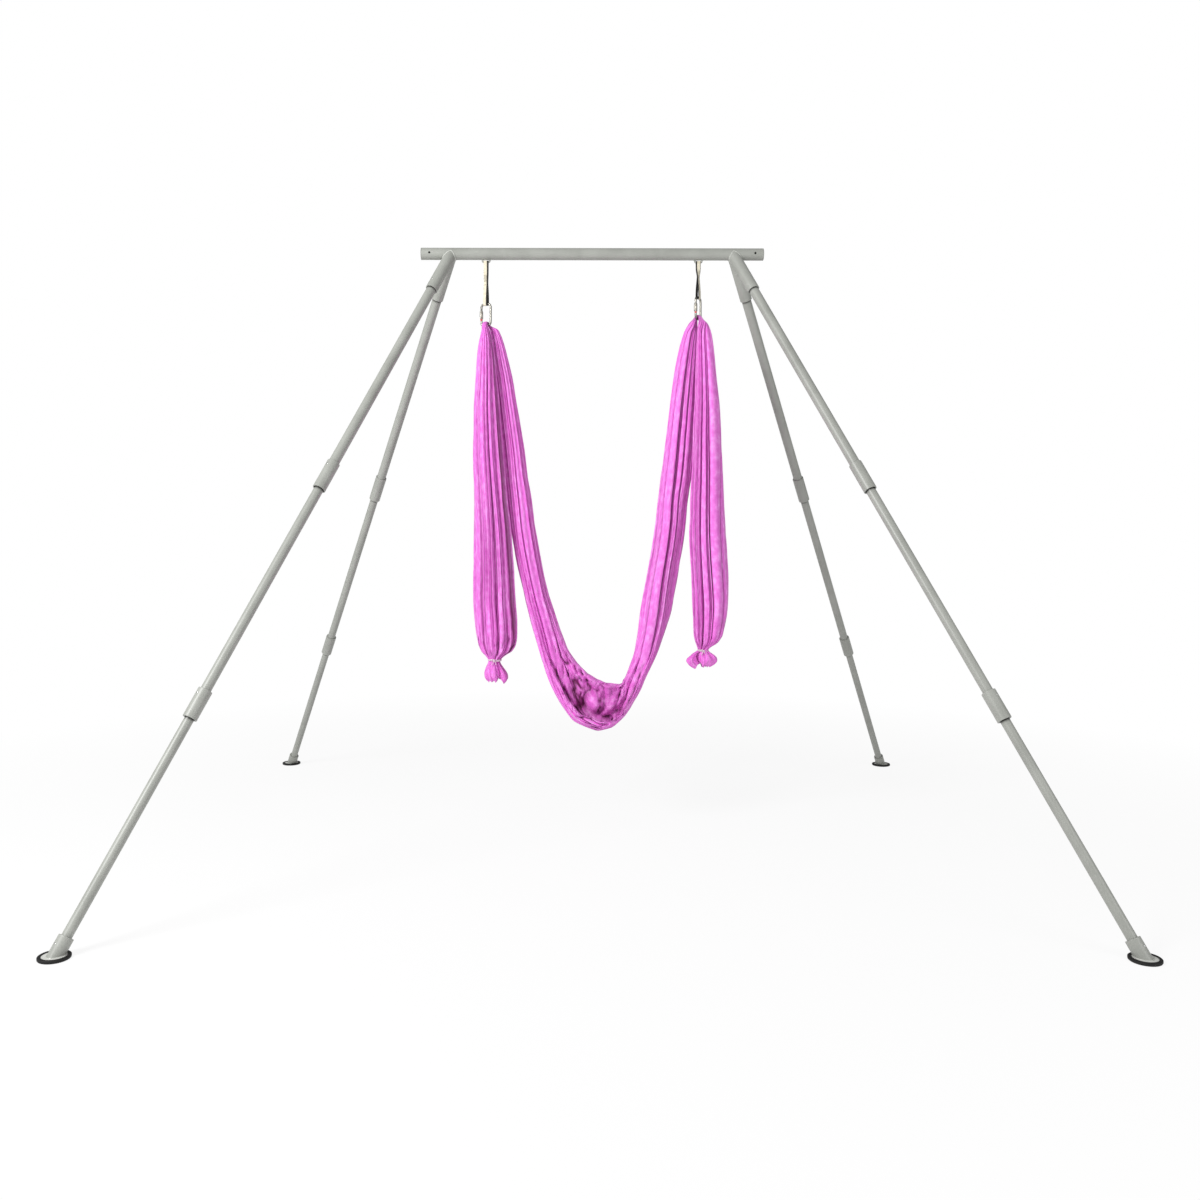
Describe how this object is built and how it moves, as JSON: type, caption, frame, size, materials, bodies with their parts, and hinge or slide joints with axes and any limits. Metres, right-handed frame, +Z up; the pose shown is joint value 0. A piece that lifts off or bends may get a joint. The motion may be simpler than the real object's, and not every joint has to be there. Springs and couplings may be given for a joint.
{
  "type": "aerial rig",
  "caption": "Free-standing aerial rig: a round top beam on four splayed sectioned legs with rubber feet, carrying a silk hammock on webbing loops and screw carabiners.",
  "frame": {"origin": "on the floor, under the middle of the top beam", "axes": "+Z up, +X along the beam to the right as seen from the front, front faces -Y"},
  "size_m": [3.975, 3.333, 2.95],
  "materials": {
    "frame": "warm light grey powder coat, satin",
    "plug": "grey moulded plastic",
    "rubber": "black moulded rubber",
    "button": "zinc-plated spring steel with a pressed dome",
    "webbing": "cream woven polyester with a black inner ply",
    "carabiner": "polished steel",
    "sleeve": "pale knurled metal with a red warning band",
    "silk": "orchid pink low-stretch tricot with a satin sheen",
    "string": "thin pale twisted string"
  },
  "bodies": {
    "frame": {"top_beam": "frame", "left_beam_plug": "plug", "right_beam_plug": "plug", "left_socket_pair": "frame", "right_socket_pair": "frame", "front_left_leg_upper_tube": "frame", "front_left_leg_middle_tube": "frame", "front_left_leg_lower_tube": "frame", "front_left_leg_upper_collar": "frame", "front_left_leg_lower_collar": "frame", "front_left_foot_socket": "frame", "front_left_foot_cup": "rubber", "front_right_leg_upper_tube": "frame", "front_right_leg_middle_tube": "frame", "front_right_leg_lower_tube": "frame", "front_right_leg_upper_collar": "frame", "front_right_leg_lower_collar": "frame", "front_right_foot_socket": "frame", "front_right_foot_cup": "rubber", "back_left_leg_upper_tube": "frame", "back_left_leg_middle_tube": "frame", "back_left_leg_lower_tube": "frame", "back_left_leg_upper_collar": "frame", "back_left_leg_lower_collar": "frame", "back_left_foot_socket": "frame", "back_left_foot_cup": "rubber", "back_right_leg_upper_tube": "frame", "back_right_leg_middle_tube": "frame", "back_right_leg_lower_tube": "frame", "back_right_leg_upper_collar": "frame", "back_right_leg_lower_collar": "frame", "back_right_foot_socket": "frame", "back_right_foot_cup": "rubber"},
    "hammock": {"left_strap": "webbing", "right_strap": "webbing", "left_carabiner_body": "carabiner", "right_carabiner_body": "carabiner", "left_tail_tie": "string", "right_tail_tie": "string", "hammock_silk": "silk"},
    "left_gate": {"left_carabiner_gate": "carabiner"},
    "left_sleeve": {"left_carabiner_sleeve": "sleeve"},
    "right_gate": {"right_carabiner_gate": "carabiner"},
    "right_sleeve": {"right_carabiner_sleeve": "sleeve"},
    "front_left_socket_button": {"front_left_socket_button": "button"},
    "front_left_upper_collar_button": {"front_left_upper_collar_button": "button"},
    "front_left_lower_collar_button": {"front_left_lower_collar_button": "button"},
    "front_left_foot_button": {"front_left_foot_button": "button"},
    "front_right_socket_button": {"front_right_socket_button": "button"},
    "front_right_upper_collar_button": {"front_right_upper_collar_button": "button"},
    "front_right_lower_collar_button": {"front_right_lower_collar_button": "button"},
    "front_right_foot_button": {"front_right_foot_button": "button"},
    "back_left_socket_button": {"back_left_socket_button": "button"},
    "back_left_upper_collar_button": {"back_left_upper_collar_button": "button"},
    "back_left_lower_collar_button": {"back_left_lower_collar_button": "button"},
    "back_left_foot_button": {"back_left_foot_button": "button"},
    "back_right_socket_button": {"back_right_socket_button": "button"},
    "back_right_upper_collar_button": {"back_right_upper_collar_button": "button"},
    "back_right_lower_collar_button": {"back_right_lower_collar_button": "button"},
    "back_right_foot_button": {"back_right_foot_button": "button"}
  },
  "joints": [
    {"name": "hammock_swing", "type": "hinge", "parent": "frame", "child": "hammock", "pos_m": [0, 0, 2.879], "axis": [1, 0, 0], "range_deg": [-45, 45]},
    {"name": "left_gate_hinge", "type": "hinge", "parent": "hammock", "child": "left_gate", "pos_m": [-0.55928, 0.01291, 2.637], "axis": [-0.4695, -0.8829, 0], "range_deg": [0, 25], "stiffness_Nm_per_rad": 0.15, "springref_deg": -20.05},
    {"name": "left_sleeve_lock", "type": "slide", "parent": "left_gate", "child": "left_sleeve", "axis": [0, 0, -1], "range_m": [0, 0.012]},
    {"name": "right_gate_hinge", "type": "hinge", "parent": "hammock", "child": "right_gate", "pos_m": [0.52002, -0.02306, 2.672], "axis": [0.8387, -0.5446, 0], "range_deg": [0, 25], "stiffness_Nm_per_rad": 0.15, "springref_deg": -20.05},
    {"name": "right_sleeve_lock", "type": "slide", "parent": "right_gate", "child": "right_sleeve", "axis": [0, 0, -1], "range_m": [0, 0.012]},
    {"name": "front_left_socket_press", "type": "slide", "parent": "frame", "child": "front_left_socket_button", "axis": [0.4969, 0.6552, -0.569], "range_m": [0, 0.0075], "stiffness_N_per_m": 600, "springref_m": -0.008},
    {"name": "front_left_upper_collar_press", "type": "slide", "parent": "frame", "child": "front_left_upper_collar_button", "axis": [0.4969, 0.6552, -0.569], "range_m": [0, 0.0092], "stiffness_N_per_m": 600, "springref_m": -0.008},
    {"name": "front_left_lower_collar_press", "type": "slide", "parent": "frame", "child": "front_left_lower_collar_button", "axis": [0.4969, 0.6552, -0.569], "range_m": [0, 0.0112], "stiffness_N_per_m": 600, "springref_m": -0.008},
    {"name": "front_left_foot_press", "type": "slide", "parent": "frame", "child": "front_left_foot_button", "axis": [0.4969, 0.6552, -0.569], "range_m": [0, 0.0102], "stiffness_N_per_m": 600, "springref_m": -0.008},
    {"name": "front_right_socket_press", "type": "slide", "parent": "frame", "child": "front_right_socket_button", "axis": [-0.4969, 0.6552, -0.569], "range_m": [0, 0.0075], "stiffness_N_per_m": 600, "springref_m": -0.008},
    {"name": "front_right_upper_collar_press", "type": "slide", "parent": "frame", "child": "front_right_upper_collar_button", "axis": [-0.4969, 0.6552, -0.569], "range_m": [0, 0.0092], "stiffness_N_per_m": 600, "springref_m": -0.008},
    {"name": "front_right_lower_collar_press", "type": "slide", "parent": "frame", "child": "front_right_lower_collar_button", "axis": [-0.4969, 0.6552, -0.569], "range_m": [0, 0.0112], "stiffness_N_per_m": 600, "springref_m": -0.008},
    {"name": "front_right_foot_press", "type": "slide", "parent": "frame", "child": "front_right_foot_button", "axis": [-0.4969, 0.6552, -0.569], "range_m": [0, 0.0102], "stiffness_N_per_m": 600, "springref_m": -0.008},
    {"name": "back_left_socket_press", "type": "slide", "parent": "frame", "child": "back_left_socket_button", "axis": [0.4969, -0.6552, -0.569], "range_m": [0, 0.0075], "stiffness_N_per_m": 600, "springref_m": -0.008},
    {"name": "back_left_upper_collar_press", "type": "slide", "parent": "frame", "child": "back_left_upper_collar_button", "axis": [0.4969, -0.6552, -0.569], "range_m": [0, 0.0092], "stiffness_N_per_m": 600, "springref_m": -0.008},
    {"name": "back_left_lower_collar_press", "type": "slide", "parent": "frame", "child": "back_left_lower_collar_button", "axis": [0.4969, -0.6552, -0.569], "range_m": [0, 0.0112], "stiffness_N_per_m": 600, "springref_m": -0.008},
    {"name": "back_left_foot_press", "type": "slide", "parent": "frame", "child": "back_left_foot_button", "axis": [0.4969, -0.6552, -0.569], "range_m": [0, 0.0102], "stiffness_N_per_m": 600, "springref_m": -0.008},
    {"name": "back_right_socket_press", "type": "slide", "parent": "frame", "child": "back_right_socket_button", "axis": [-0.4969, -0.6552, -0.569], "range_m": [0, 0.0075], "stiffness_N_per_m": 600, "springref_m": -0.008},
    {"name": "back_right_upper_collar_press", "type": "slide", "parent": "frame", "child": "back_right_upper_collar_button", "axis": [-0.4969, -0.6552, -0.569], "range_m": [0, 0.0092], "stiffness_N_per_m": 600, "springref_m": -0.008},
    {"name": "back_right_lower_collar_press", "type": "slide", "parent": "frame", "child": "back_right_lower_collar_button", "axis": [-0.4969, -0.6552, -0.569], "range_m": [0, 0.0112], "stiffness_N_per_m": 600, "springref_m": -0.008},
    {"name": "back_right_foot_press", "type": "slide", "parent": "frame", "child": "back_right_foot_button", "axis": [-0.4969, -0.6552, -0.569], "range_m": [0, 0.0102], "stiffness_N_per_m": 600, "springref_m": -0.008}
  ]
}
